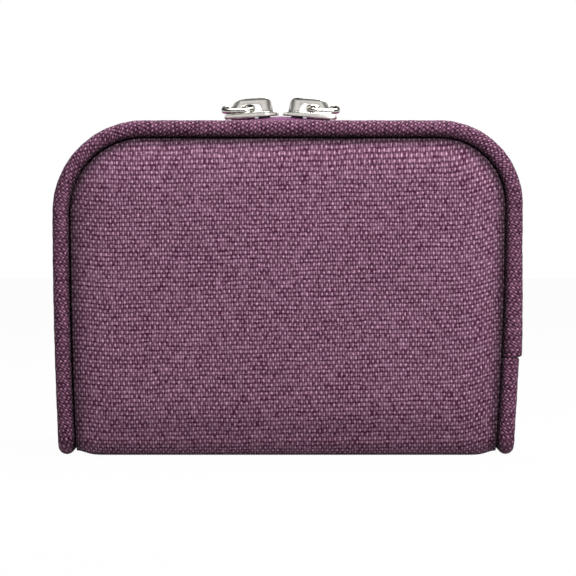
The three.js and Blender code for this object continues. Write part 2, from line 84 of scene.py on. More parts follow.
PAIR_MIDDLE = -1.75 * MM  # x of the place where the sliders meet
CHAIN_SLOPE = math.radians(4.5)  # of the zip, down to both sides of that place
TAPE_COLUMNS = 36

JOIN_REACH = 0.002 * MM  # within which a casting's corners are merged
FLAT_ANGLE = math.radians(1)  # under which its triangles are one flat
EDGE_ANGLE = math.radians(28)  # over which an edge is rounded
RING_CORNER = 2 * MM
RING_STEPS = 14  # in a quarter turn
WIRE_COLUMNS = 20


def length(name, description, default):
    """A size property in metres."""
    return FloatProperty(
        name=name, description=description, default=default, min=0, unit="LENGTH", precision=5
    )


def colour(name, description, default):
    """A colour property, as linear red, green and blue."""
    return FloatVectorProperty(
        name=name, description=description, default=default, min=0, max=1, size=3, subtype="COLOR"
    )


class WalletSizes(bpy.types.PropertyGroup):
    """Sizes of the wallet's soft parts."""

    width: length("Width", "Over the piping at its widest", 118 * MM)
    height: length("Height", "From the ground to the top of the piping", 84.2 * MM)
    thickness: length("Thickness", "Over the crowned panels", 26 * MM)
    left_corner: length("Left corner", "Radius of the top left corner", 23 * MM)
    right_corner: length("Right corner", "Radius of the top right corner", 21 * MM)
    left_lean: length("Left lean", "How far the left side runs in towards the spine", 1.3 * MM)
    right_lean: length("Right lean", "How far the right side runs in towards the spine", 2 * MM)
    spine_bend: length("Spine bend", "Radius of the fold by the spine", 5 * MM)
    cloth: length("Cover cloth", "Thickness of the cover", 0.8 * MM)
    crown: length("Crown", "How far a panel's middle stands out", 0.8 * MM)
    seam_pull: length("Seam pull", "How far the seam draws the level threads aside", 1.5 * MM)
    pillow: length("Pillow", "Further rise of a panel inside its rounded edge", 1.5 * MM)
    pillow_reach: length("Pillow reach", "Distance over which that edge rounds off", 6 * MM)
    edge_roll: length("Edge roll", "Drop of a panel's edge into the groove", 1.1 * MM)
    groove: length("Groove", "Between the piping and the panel's edge", 0.45 * MM)
    roll_reach: length("Roll reach", "Distance over which the roll fades", 2.9 * MM)
    piping: length("Piping", "Radius of the piping", 2.1 * MM)
    seam_depth: length("Seam depth", "Depth of the piping's middle below the cover", 2.35 * MM)
    flange: length("Flange", "Thickness of the piping's flange in the seam", 0.4 * MM)
    flange_drop: length("Flange drop", "From the piping's middle down to the flange", 0.25 * MM)
    flange_length: length("Flange length", "From the round to the flange's raw edge", 3.6 * MM)
    lap_height: length("Lap height", "Where the piping's lapped end shows", 24.8 * MM)
    lap_length: length("Lap length", "Over which the lap swells", 27 * MM)
    lap_rise: length("Lap rise", "How far the lap stands out", 0.75 * MM)
    warp: length("Warp pitch", "From one upright thread to the next", 0.625 * MM)
    weft: length("Weft pitch", "From one level thread to the next", 1.07 * MM)
    tape: length("Tape", "Thickness of the zip tape", 0.5 * MM)
    chain_rise: length("Chain rise", "Tape over the piping where the sliders meet", 1.2 * MM)
    chain_run: length("Chain run", "Straight run of the chain on each side", 36 * MM)
    wire: length("Pull wire", "Diameter of the pull's wire", 1.4 * MM)
    ring_roll: length("Ring roll", "How much lower a ring's front side lies", 1.5 * MM)
    ring_lift: length("Ring lift", "How far a ring's outer end lies over the casting", 0.4 * MM)
    edge_round: length("Casting edge", "Rounding of the sliders' edges", 0.22 * MM)


class WalletColours(bpy.types.PropertyGroup):
    """Colours of the wallet's finishes."""

    light_thread: colour("Light thread", "Lilac threads of the cloth", (0.66, 0.37, 0.53))
    dark_thread: colour("Dark thread", "Plum threads of the cloth", (0.056, 0.009, 0.033))
    tape: colour("Tape", "Zip tape", (0.33, 0.11, 0.26))
    lining: colour("Lining", "Lining cloth", (0.03, 0.02, 0.03))
    foam: colour("Foam", "Padding foam", (0.7, 0.67, 0.62))
    nickel: colour("Nickel", "Plated zinc", (0.80, 0.77, 0.72))


def sizes():
    """The scene's own sizes."""
    return bpy.context.scene.wallet_sizes


def colours():
    """The scene's own colours."""
    return bpy.context.scene.wallet_colours


# Outline and paths


def side_of(s, sign):
    """Corner radius and lean of the left (-1) or right (1) side."""
    return (s.left_corner, s.left_lean) if sign < 0 else (s.right_corner, s.right_lean)


def half_width(s, sign, height, inset):
    """Half width of the outline at a height, some way inside the piping: an arc at the corner, and
    below it a straight side that leans in as a parabola."""
    radius, lean = side_of(s, sign)
    corner = s.height - radius
    straight = s.width / 2 - inset
    rise = np.clip(height - corner, 0, radius - inset)
    arc = straight - (radius - inset) + np.sqrt((radius - inset) ** 2 - rise**2)
    fall = (corner - np.maximum(height, s.spine_bend)) / (corner - s.spine_bend)
    return np.where(height > corner, arc, straight - lean * fall**2)


def depth_inside(s, x, height, inset):
    """Distance of panel points from the outline: from the arc in a corner, else from side or top."""
    nearest = np.zeros_like(x)
    for sign in (-1, 1):
        radius, _ = side_of(s, sign)
        across = sign * x - (s.width / 2 - radius)
        up = height - (s.height - radius)
        arc = radius - inset - np.hypot(across, up)
        edge = half_width(s, sign, height, inset) - sign * x
        straight = np.minimum(edge, s.height - inset - height)
        here = np.where((across > 0) & (up > 0), arc, straight)
        nearest = np.where(sign * x >= 0, here, nearest)
    return nearest


def rim_path(s, step, foot):
    """Middle of the piping seen from the front, from the left foot over the top to the right foot:
    points (x, z) and the unit directions that point out of the wallet."""
    parts = []
    for sign in (-1, 1):
        radius, _ = side_of(s, sign)
        corner = s.height - radius
        levels = np.linspace(foot, corner, int((corner - foot) / step) + 1)
        if sign > 0:
            near = s.lap_height + np.array(LAP_LEVELS) * MM
            levels = np.unique(np.concatenate([levels, near]))
        x = sign * half_width(s, sign, levels, s.piping)
        side = np.stack([x, levels, np.full_like(x, sign), np.zeros_like(x)], 1)
        count = int(radius * math.pi / 2 / step)
        angle = (np.arange(count) + 1) / count * math.pi / 2
        bend = radius - s.piping
        arc_x = sign * (s.width / 2 - radius + bend * np.cos(angle))
        arc_z = corner + bend * np.sin(angle)
        arc = np.stack([arc_x, arc_z, sign * np.cos(angle), np.sin(angle)], 1)
        parts.append(np.concatenate([side, arc]))
    left, right = parts
    start, end = left[-1, 0], right[-1, 0]
    x = np.linspace(start, end, int((end - start) / step) + 1)[1:-1]
    level = np.full_like(x, s.height - s.piping)
    top = np.stack([x, level, np.zeros_like(x), np.ones_like(x)], 1)
    return np.concatenate([left, top, right[::-1]])


def rim_frames(s, step, foot, face):
    """The rim in space on the front (-1) or back (1): places, outward and facing directions."""
    path = rim_path(s, step, foot)
    seam = s.thickness / 2 - s.crown - s.seam_depth
    zero = np.zeros(len(path))
    at = np.stack([path[:, 0], zero + face * seam, path[:, 1]], 1)
    out = np.stack([path[:, 2], zero, path[:, 3]], 1)
    facing = np.tile([0.0, face, 0.0], (len(path), 1))
    return at, out, facing


def fold_frames(s, sign, steps):
    """The piping's way round one end of the spine, front to back: two quarter circles."""
    centre = s.thickness / 2 - s.crown - s.spine_bend
    radius = s.spine_bend - s.seam_depth
    angle = np.linspace(0, math.pi / 2, steps + 1)[1:]
    places, facings = [], []
    for face, turn in ((-1, angle), (1, angle[::-1])):
        y = face * (centre + radius * np.cos(turn))
        z = s.spine_bend - radius * np.sin(turn)
        x = np.full_like(y, sign * float(half_width(s, sign, s.spine_bend, s.piping)))
        places.append(np.stack([x, y, z], 1))
        facings.append(np.stack([np.zeros_like(y), face * np.cos(turn), -np.sin(turn)], 1))
    at = np.concatenate(places)
    return at, np.tile([float(sign), 0.0, 0.0], (len(at), 1)), np.concatenate(facings)


def carry(frames, section):
    """Carries a flat section along frames: place + first number outwards + second to the face."""
    at, out, facing = frames
    section = np.broadcast_to(section, (len(at),) + section.shape[-2:])
    return (
        at[:, None, :]
        + section[..., 0:1] * out[:, None, :]
        + section[..., 1:2] * facing[:, None, :]
    )


def run_length(points, closed=False):
    """Length along a row of points from its start, in millimetres: the sum of the distances so far.
    A closed row runs back to its first point."""
    if closed:
        points = np.concatenate([points, points[:1]])
    steps = np.linalg.norm(np.diff(points, axis=0), axis=1)
    return np.concatenate([[0], np.cumsum(steps)]) / MM


def smooth_line(points, count):
    """Points evenly spread over a Catmull-Rom curve through each row's control points."""
    before = 2 * points[:, :1] - points[:, 1:2]
    after = 2 * points[:, -1:] - points[:, -2:-1]
    ends = np.concatenate([before, points, after], 1)
    place = np.linspace(0, points.shape[1] - 1, count)
    span = np.minimum(place.astype(int), points.shape[1] - 2)
    t = (place - span)[None, :, None]
    p0, p1, p2, p3 = (ends[:, span + k] for k in range(4))
    return 0.5 * (
        2 * p1
        + (p2 - p0) * t
        + (2 * p0 - 5 * p1 + 4 * p2 - p3) * t**2
        + (3 * p1 - p0 - 3 * p2 + p3) * t**3
    )


def grid_piece(name, points, cloth, wrap_rows=False, seam=None):
    """An object whose faces join a grid of points. Each row is a closed ring. The rows run back into
    the first one, or both ends are closed by one face. cloth holds a place on the cloth, in
    millimetres, for each corner, with one more column, and one more row where the rows wrap. seam
    holds, for each point, the strength of painted shade by a seam, from 0 to 1."""
    rows, columns = points.shape[:2]
    spans = rows if wrap_rows else rows - 1
    i, j = np.meshgrid(np.arange(spans), np.arange(columns), indexing="ij")
    i2, j2 = (i + 1) % rows, (j + 1) % columns
    corner = [i * columns + j, i * columns + j2, i2 * columns + j2, i2 * columns + j]
    quads = np.stack(corner, -1).reshape(-1, 4)
    places = np.stack([cloth[i, j], cloth[i, j + 1], cloth[i + 1, j + 1], cloth[i + 1, j]], 2)
    places = places.reshape(-1, 4, 2)
    flat = points.reshape(-1, 3)
    a, b, c, d = (flat[quads[:, k]] for k in range(4))
    volume = np.einsum("ij,ij->", a, np.cross(b, c)) + np.einsum("ij,ij->", a, np.cross(c, d))
    faces = quads.tolist()
    turned = volume < 0
    if turned:
        faces = quads[:, ::-1].tolist()
        places = places[:, ::-1]
    uv = places.reshape(-1, 2)
    if not wrap_rows:
        first = list(range(columns))
        last = [(rows - 1) * columns + k for k in range(columns)]
        ends = [first, last[::-1]] if turned else [first[::-1], last]
        faces += ends
        uv = np.concatenate([uv, np.zeros((2 * columns, 2))])
    mesh = bpy.data.meshes.new(name)
    mesh.from_pydata(flat.tolist(), [], faces)
    layer = mesh.uv_layers.new(name="cloth")
    layer.data.foreach_set("uv", uv.astype(np.float32).ravel())
    if seam is not None:
        painted_shade_by_seam = mesh.attributes.new("seam", "FLOAT", "POINT")
        painted_shade_by_seam.data.foreach_set("value", seam.astype(np.float32).ravel())
    mesh.shade_smooth()
    mesh.update()
    piece = bpy.data.objects.new(name, mesh)
    bpy.context.scene.collection.objects.link(piece)
    return piece


def finish_piece(piece, material, body, slot, *nodes):
    """Gives a piece its material and body, and hides the frame's nodes that it stands for. The slot is
    not used.
    """
    piece.data.materials.append(material)
    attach(piece, body)
    if nodes:
        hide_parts(*nodes)
    return piece


# Materials


class Nodes:
    """Short calls for the nodes and links of one tree."""

    def __init__(self, tree):
        self.tree = tree

    def add(self, kind, **settings):
        node = self.tree.nodes.new(kind)
        for key, value in settings.items():
            setattr(node, key, value)
        return node

    def link(self, source, target):
        if isinstance(source, (int, float)):
            target.default_value = source
        else:
            self.tree.links.new(source, target)

    def math(self, operation, first, second=0.0, clamp=False):
        node = self.add("ShaderNodeMath", operation=operation, use_clamp=clamp)
        self.link(first, node.inputs[0])
        self.link(second, node.inputs[1])
        return node.outputs[0]

    def mix(self, factor, first, second):
        node = self.add("ShaderNodeMix", data_type="RGBA")
        self.link(factor, node.inputs["Factor"])
        for value, target in ((first, node.inputs["A"]), (second, node.inputs["B"])):
            if isinstance(value, tuple):
                target.default_value = (*value, 1)
            else:
                self.link(value, target)
        return node.outputs["Result"]

    def smooth(self, value, low, high):
        node = self.add("ShaderNodeMapRange", interpolation_type="SMOOTHSTEP")
        self.link(value, node.inputs["Value"])
        node.inputs["From Min"].default_value = low
        node.inputs["From Max"].default_value = high
        return node.outputs["Result"]

    def noise(self, vector, scale, detail=2.0):
        node = self.add("ShaderNodeTexNoise")
        self.link(vector, node.inputs["Vector"])
        node.inputs["Scale"].default_value = scale
        node.inputs["Detail"].default_value = detail
        return node


def socket(tree, name, direction, kind, default=None):
    """A named input or output of a node group."""
    made = tree.interface.new_socket(name=name, in_out=direction, socket_type=kind)
    if default is not None:
        made.default_value = default
    return made


def weave_group():
    """Plain weave on a place in millimetres. An upright and a level thread each have a height: a
    bulge, the sine across the thread to a power, and a rise, the sine along it, whose sign changes
    from one thread to the next. The higher one shows. Noise moves the threads sideways, noise drawn
    out along each thread varies its tone, and fine noise frays the tops into bright fibres."""
    name = "Plain weave"
    if name in bpy.data.node_groups:
        return bpy.data.node_groups[name]
    tree = bpy.data.node_groups.new(name, "ShaderNodeTree")
    socket(tree, "Place", "INPUT", "NodeSocketVector")
    socket(tree, "Warp pitch", "INPUT", "NodeSocketFloat", 0.6)
    socket(tree, "Weft pitch", "INPUT", "NodeSocketFloat", 1.0)
    socket(tree, "Waver", "INPUT", "NodeSocketFloat", 0.3)
    socket(tree, "Light thread", "INPUT", "NodeSocketColor")
    socket(tree, "Dark thread", "INPUT", "NodeSocketColor")
    socket(tree, "Colour", "OUTPUT", "NodeSocketColor")
    socket(tree, "Height", "OUTPUT", "NodeSocketFloat")
    n = Nodes(tree)
    given = n.add("NodeGroupInput").outputs
    result = n.add("NodeGroupOutput").inputs
    waver = n.add("ShaderNodeCombineXYZ")
    for axis in "XYZ":
        n.link(given["Waver"], waver.inputs[axis])
    moved = given["Place"]
    for scale, share in ((0.13, 2.6), (0.9, 0.8)):
        drift = n.noise(given["Place"], scale, 2.0)
        centred = n.add("ShaderNodeVectorMath", operation="SUBTRACT")
        n.link(drift.outputs["Color"], centred.inputs[0])
        centred.inputs[1].default_value = (0.5, 0.5, 0.5)
        reach = n.add("ShaderNodeVectorMath", operation="SCALE")
        n.link(waver.outputs[0], reach.inputs[0])
        reach.inputs["Scale"].default_value = share
        bend = n.add("ShaderNodeVectorMath", operation="MULTIPLY_ADD")
        n.link(centred.outputs[0], bend.inputs[0])
        n.link(reach.outputs[0], bend.inputs[1])
        n.link(moved, bend.inputs[2])
        moved = bend.outputs[0]
    split = n.add("ShaderNodeSeparateXYZ")
    n.link(moved, split.inputs[0])
    waves = []
    threads = []
    for axis, pitch, stretch in (
        ("X", "Warp pitch", (1.0, 0.25, 1.0)),
        ("Y", "Weft pitch", (0.25, 1.0, 1.0)),
    ):
        turns = n.math("DIVIDE", split.outputs[axis], given[pitch])
        waves.append(n.math("SINE", n.math("MULTIPLY", turns, math.pi)))
        drawn = n.add("ShaderNodeVectorMath", operation="MULTIPLY")
        n.link(moved, drawn.inputs[0])
        drawn.inputs[1].default_value = stretch
        threads.append(n.noise(drawn.outputs[0], 1.5, 1.0).outputs["Fac"])
    heights = []
    for across, along, over, share in ((0, 1, 0.48, 0.58), (1, 0, -0.42, 0.46)):
        bulge = n.math("POWER", n.math("ABSOLUTE", waves[across]), 0.6)
        bulge = n.math("MULTIPLY", bulge, share)
        rise = n.math("MULTIPLY", n.math("SIGN", waves[across]), waves[along])
        heights.append(n.math("ADD", bulge, n.math("MULTIPLY", rise, over)))
    top = n.math("MAXIMUM", *heights)
    upright = n.smooth(n.math("SUBTRACT", *heights), -0.2, 0.2)
    fibre = n.noise(moved, 2.3, 3.0).outputs["Fac"]
    drift = n.noise(given["Place"], 0.05, 2.0).outputs["Fac"]
    tone = n.math("ADD", n.math("SUBTRACT", threads[0], 0.5), n.math("SUBTRACT", threads[1], 0.5))
    tone = n.math("ADD", tone, n.math("MULTIPLY", n.math("SUBTRACT", drift, 0.5), 0.25))
    # Upright threads take the light thread's colour at their tops: two-tone threads, with a painted
    # highlight where the floats rise highest.
    painted_crest_highlight = n.smooth(top, 0.68, 1.02)
    lit = n.math("ADD", 0.09, n.math("MULTIPLY", n.math("MULTIPLY", upright, painted_crest_highlight), 0.42))
    lit = n.math("ADD", lit, n.math("MULTIPLY", tone, 0.4))
    frayed = n.math("MULTIPLY", n.smooth(fibre, 0.46, 0.7), n.smooth(top, 0.5, 0.9))
    lit = n.math("ADD", lit, n.math("MULTIPLY", frayed, 0.46))
    # Painted shade in the gaps between threads: the colour darkens where both threads lie low.
    painted_gap_shade = n.math("ADD", n.math("MULTIPLY", n.smooth(top, 0.1, 0.52), 0.9), 0.1)
    lit = n.math("MULTIPLY", lit, painted_gap_shade, True)
    shade = n.mix(lit, given["Dark thread"], given["Light thread"])
    # The painted gap shade darkens the colour once more.
    gap_shaded_colour = n.add("ShaderNodeVectorMath", operation="SCALE")
    n.link(shade, gap_shaded_colour.inputs[0])
    n.link(n.math("ADD", n.math("MULTIPLY", painted_gap_shade, 0.55), 0.45), gap_shaded_colour.inputs["Scale"])
    n.link(gap_shaded_colour.outputs[0], result["Colour"])
    n.link(n.math("ADD", top, n.math("MULTIPLY", fibre, 0.4)), result["Height"])
    return tree


def new_material(name):
    """A material, short calls for its nodes, and its shader."""
    material = bpy.data.materials.new(name)
    material.use_nodes = True
    n = Nodes(material.node_tree)
    return material, n, material.node_tree.nodes["Principled BSDF"]


def bump(n, height, strength, distance, shader):
    """Tilts the shader's normals by a height."""
    node = n.add("ShaderNodeBump")
    node.inputs["Strength"].default_value = strength
    node.inputs["Distance"].default_value = distance
    n.link(height, node.inputs["Height"])
    n.link(node.outputs[0], shader.inputs["Normal"])


def woven_material(name, light, dark, warp, weft, turn=0.0, waver=0.3, relief=0.24 * MM):
    """Two-tone plain-woven cloth that follows the piece's own cloth map, turned for a bias cut, and
    darkened by painted shade where the piece's seam attribute is high, along its seams."""
    material, n, shader = new_material(name)
    place = n.add("ShaderNodeUVMap", uv_map="cloth")
    mapping = n.add("ShaderNodeMapping")
    mapping.inputs["Rotation"].default_value = (0, 0, turn)
    n.link(place.outputs[0], mapping.inputs["Vector"])
    cloth = n.add("ShaderNodeGroup", node_tree=weave_group())
    n.link(mapping.outputs[0], cloth.inputs["Place"])
    cloth.inputs["Warp pitch"].default_value = warp / MM
    cloth.inputs["Weft pitch"].default_value = weft / MM
    cloth.inputs["Waver"].default_value = waver
    cloth.inputs["Light thread"].default_value = (*light, 1)
    cloth.inputs["Dark thread"].default_value = (*dark, 1)
    # Painted shade: the seam attribute takes up to the seam shade share of the cloth's lightness.
    seam = n.add("ShaderNodeAttribute", attribute_name="seam")
    share_left_by_painted_shade = n.math("SUBTRACT", 1.0, n.math("MULTIPLY", seam.outputs["Fac"], PAINTED_SEAM_SHADE))
    shaded = n.add("ShaderNodeVectorMath", operation="SCALE")
    n.link(cloth.outputs["Colour"], shaded.inputs[0])
    n.link(share_left_by_painted_shade, shaded.inputs["Scale"])
    n.link(shaded.outputs[0], shader.inputs["Base Color"])
    rough = n.math("SUBTRACT", 0.86, n.math("MULTIPLY", cloth.outputs["Height"], 0.18))
    n.link(rough, shader.inputs["Roughness"])
    shader.inputs["Sheen Weight"].default_value = 0.04
    shader.inputs["Sheen Roughness"].default_value = 0.4
    shader.inputs["Specular IOR Level"].default_value = 0.12
    bump(n, cloth.outputs["Height"], 0.9, relief, shader)
    return material


def nickel_material():
    """Bright nickel plate over a casting: faint ripples and slightly uneven gloss."""
    material, n, shader = new_material("nickel_plate")
    place = n.add("ShaderNodeTexCoord").outputs["Object"]
    cloud = n.noise(place, 420.0, 3.0).outputs["Fac"]
    fine = n.noise(place, 2600.0, 2.0).outputs["Fac"]
    tint = tuple(colours().nickel)
    worn = tuple(0.86 * value for value in tint)
    n.link(n.mix(n.smooth(cloud, 0.35, 0.7), worn, tint), shader.inputs["Base Color"])
    n.link(n.math("ADD", n.math("MULTIPLY", cloud, 0.12), 0.13), shader.inputs["Roughness"])
    shader.inputs["Metallic"].default_value = 1
    bump(n, n.math("ADD", cloud, n.math("MULTIPLY", fine, 0.15)), 0.2, 0.05 * MM, shader)
    return material


def foam_material():
    """Open-cell sheet foam."""
    material, n, shader = new_material("sheet_foam")
    place = n.add("ShaderNodeTexCoord").outputs["Object"]
    cells = n.add("ShaderNodeTexVoronoi")
    n.link(place, cells.inputs["Vector"])
    cells.inputs["Scale"].default_value = 1800
    tint = tuple(colours().foam)
    pore = tuple(0.6 * value for value in tint)
    open_cell = n.smooth(cells.outputs["Distance"], 0.1, 0.6)
    n.link(n.mix(open_cell, pore, tint), shader.inputs["Base Color"])
    shader.inputs["Roughness"].default_value = 0.95
    bump(n, cells.outputs["Distance"], 0.5, 0.1 * MM, shader)
    return material


def hidden_cloth_material(name, tint, pitch):
    """Fine cloth for the pieces inside, on Object coordinates."""
    material, n, shader = new_material(name)
    place = n.add("ShaderNodeTexCoord").outputs["Object"]
    turned = n.add("ShaderNodeMapping")
    turned.inputs["Rotation"].default_value = (math.pi / 2, 0, 0)
    turned.inputs["Scale"].default_value = (1 / MM, 1 / MM, 1 / MM)
    n.link(place, turned.inputs["Vector"])
    cloth = n.add("ShaderNodeGroup", node_tree=weave_group())
    n.link(turned.outputs[0], cloth.inputs["Place"])
    cloth.inputs["Warp pitch"].default_value = pitch
    cloth.inputs["Weft pitch"].default_value = pitch
    cloth.inputs["Waver"].default_value = 0.1
    cloth.inputs["Light thread"].default_value = (*tint, 1)
    cloth.inputs["Dark thread"].default_value = (*[0.5 * value for value in tint], 1)
    n.link(cloth.outputs["Colour"], shader.inputs["Base Color"])
    shader.inputs["Roughness"].default_value = 0.85
    bump(n, cloth.outputs["Height"], 0.5, 0.05 * MM, shader)
    return material


# Pieces


def rise_from_fold(s, height):
    """Share of the pillow above the fold: a parabola from 0 at the fold that flattens out at 1."""
    share = np.clip((height - s.spine_bend) / (FOLD_REACH * s.pillow_reach), 0, 1)
    return 1 - (1 - share) ** 2


def cover_surface(s, x, height, turn, face):
    """Depth of the cover's outside below its plain fold. The edge rolls down into the groove as a
    bell curve of the distance from it. The middle stands out as a dome, the product of two
    parabolas, and as a pillow, one less a wider bell curve. Two slow waves and small puckers by the
    seam, all of them sines, make it lie as sewn cloth does."""
    inset = 2 * s.piping + s.groove
    inside = np.maximum(depth_inside(s, x, height, inset), 0)
    panel = turn == 0
    across = x / (s.width / 2)
    up = np.where(panel, 2 * (height - s.spine_bend) / (s.height - s.spine_bend) - 1, -1.0)
    middle = np.clip(1 - up**2, 0, 1)
    dome = s.crown * (1 - across**2) * middle
    wave = np.sin(x * 83 + face * 0.7) * np.sin(height * 117 + 0.4)
    wave = wave + 0.6 * np.sin(x * 151 - height * 97)
    calm = np.clip(inside / WAVE_CALM, 0, 1) * middle
    angle = np.arctan2(height - PUCKER_CENTRE, x)
    near_seam = np.exp(-((inside - PUCKER_PLACE) / PUCKER_REACH) ** 2)
    pucker = np.sin(angle * PUCKER_TURNS + face) * near_seam
    roll = s.edge_roll * np.exp(-((inside / s.roll_reach) ** 2))
    stuffed = s.pillow * (1 - np.exp(-((inside / s.pillow_reach) ** 2))) * rise_from_fold(s, height)
    relief = dome + np.where(panel, stuffed, 0) + WAVE_RISE * wave * calm
    return roll - (relief + np.where(panel, PUCKER_RISE * pucker, 0))


def make_cover(s):
    """The cover as one closed sheet: rows run down the front, round the spine and up the back, and
    each row goes across the outside and back along the inside."""
    inset = 2 * s.piping + s.groove
    top = s.height - inset
    heights = top - np.linspace(0, 1, COVER_ROWS) ** ROW_CROWDING * (top - s.spine_bend)
    fold = np.linspace(0, math.pi / 2, FOLD_STEPS + 1)[1:]
    half = [(height, 0.0) for height in heights] + [(s.spine_bend, turn) for turn in fold]
    profile = [(h, t, -1) for h, t in half] + [(h, t, 1) for h, t in half[::-1]]
    height = np.array([row[0] for row in profile])[:, None]
    turn = np.array([row[1] for row in profile])[:, None]
    face = np.array([row[2] for row in profile])[:, None]
    even = np.linspace(0, 1, COVER_COLUMNS)
    crowded = (1 - np.cos(math.pi * even)) / 2
    across = ((1 - COLUMN_CROWDING) * even + COLUMN_CROWDING * crowded)[None, :]
    left = half_width(s, -1, height, inset)
    right = half_width(s, 1, height, inset)
    x = -left + across * (left + right)
    height, turn, face = (np.broadcast_to(value, x.shape) for value in (height, turn, face))
    depth = cover_surface(s, x, height, turn, face)
    centre = s.thickness / 2 - s.crown - s.spine_bend

    def surface(below):
        """Flat panels, and quarter circles round the fold, some way below the plain fold."""
        radius = s.spine_bend - below
        y = face * (centre + radius * np.cos(turn))
        z = np.where(turn > 0, s.spine_bend - radius * np.sin(turn), height)
        return np.stack([x, y, z], -1)

    outer = surface(depth)
    inner = surface(depth + s.cloth)
    points = np.concatenate([outer, inner[:, ::-1]], 1)
    down = run_length(surface(np.zeros_like(x))[:, COVER_COLUMNS // 2])[:, None]
    inside = np.maximum(depth_inside(s, x, height, inset), 0)
    drawn = s.seam_pull / MM * np.exp(-((inside / (4 * s.seam_pull)) ** 2)) * (1 + x / s.width)
    on_cloth = np.stack([x / MM, down + drawn], -1)
    ring = np.concatenate([on_cloth, on_cloth[:, ::-1], on_cloth[:, :1]], 1)
    # Painted shade by the seam: full at the groove by the piping, fading away from it.
    painted_shade_by_seam = np.exp(-((inside / (1.6 * s.edge_roll)) ** 2))
    piece = grid_piece("cover_cloth", points, ring, seam=np.concatenate([painted_shade_by_seam, painted_shade_by_seam[:, ::-1]], 1))
    c = colours()
    material = woven_material(
        "cover_weave", tuple(c.light_thread), tuple(c.dark_thread), s.warp, s.weft, turn=0.02
    )
    finish_piece(piece, material, BODY, "cover_cloth", "cover_fabric")
    return piece


def make_piping(s):
    """The piping as one closed run of round sections with a flange. Where its ends lap, the radius
    and the outward shift swell evenly towards the lapped end and drop there in a quarter circle,
    with a crease under it. Two sines along the run make it lie a little unevenly."""
    front = rim_frames(s, RIM_STEP, s.spine_bend, -1)
    back = rim_frames(s, RIM_STEP, s.spine_bend, 1)
    right = fold_frames(s, 1, FOLD_STEPS)
    left = fold_frames(s, -1, FOLD_STEPS)
    frames = tuple(
        np.concatenate([front[k], right[k], back[k][::-1], left[k][::-1]]) for k in range(3)
    )
    at = frames[0]
    over_lap = at[:, 2] - s.lap_height
    above = over_lap / s.lap_length
    on_lap = (at[:, 0] > 0) & (at[:, 1] < 0) & (at[:, 2] > s.spine_bend)
    swell = np.where(on_lap & (above > 0) & (above < 1), 1 - above, 0)
    turned = np.clip(over_lap / LAP_TURN, 0, 1)
    swell = swell * np.sqrt(1 - (1 - turned) ** 2)
    crease = np.exp(-(((over_lap + CREASE_DROP) / CREASE_REACH) ** 2))
    crease = np.where(on_lap, crease, 0)
    along = run_length(at, closed=True)
    ripple = 0.012 * np.sin(along[:-1] * 1.9) + 0.01 * np.sin(along[:-1] * 0.73 + 1)
    shift = s.lap_rise / 2 * swell
    radius = s.piping * (1 + ripple) + shift - CREASE_DEPTH * crease
    count = PIPING_COLUMNS
    bottom = s.flange_drop + s.flange
    start = math.pi + math.asin(s.flange_drop / s.piping)
    angle = np.linspace(start, math.asin(bottom / s.piping) - math.pi, count - 2)
    outward = shift[:, None] + radius[:, None] * np.cos(angle)
    wrap = np.stack([outward, radius[:, None] * np.sin(angle)], -1)
    raw_edge = -(s.piping + s.flange_length)
    flange = np.array([[raw_edge, -bottom], [raw_edge, -s.flange_drop]])
    flange = np.broadcast_to(flange, (len(at), 2, 2))
    points = carry(frames, np.concatenate([wrap, flange], 1))
    round_mm = 2 * math.pi * s.piping / MM * np.arange(count + 1) / count
    u = np.broadcast_to(along[:, None], (len(along), count + 1))
    v = np.broadcast_to(round_mm, u.shape)
    # Painted shade on the half of the round that faces the panel, and full shade on the flange in the
    # seam.
    painted_shade_inner_side = np.clip((-np.cos(angle) - 0.45) / 0.55, 0, 1)
    painted_shade_by_seam = np.tile(np.concatenate([painted_shade_inner_side, [1, 1]]), (len(at), 1))
    piece = grid_piece("piping_cloth", points, np.stack([u, v], -1), wrap_rows=True, seam=painted_shade_by_seam)
    c = colours()
    # The cover's threads, darker and less green: partly a darker weave on the piping, partly painted
    # shade of its round.
    light = tuple(share * value for share, value in zip((0.78, 0.64, 0.72), c.light_thread))
    dark = tuple(0.55 * value for value in c.dark_thread)
    material = woven_material(
        "piping_weave", light, dark, s.warp, 0.85 * s.weft, turn=math.radians(32), relief=0.3 * MM
    )
    return finish_piece(piece, material, BODY, "piping_cloth", "piping_fabric")


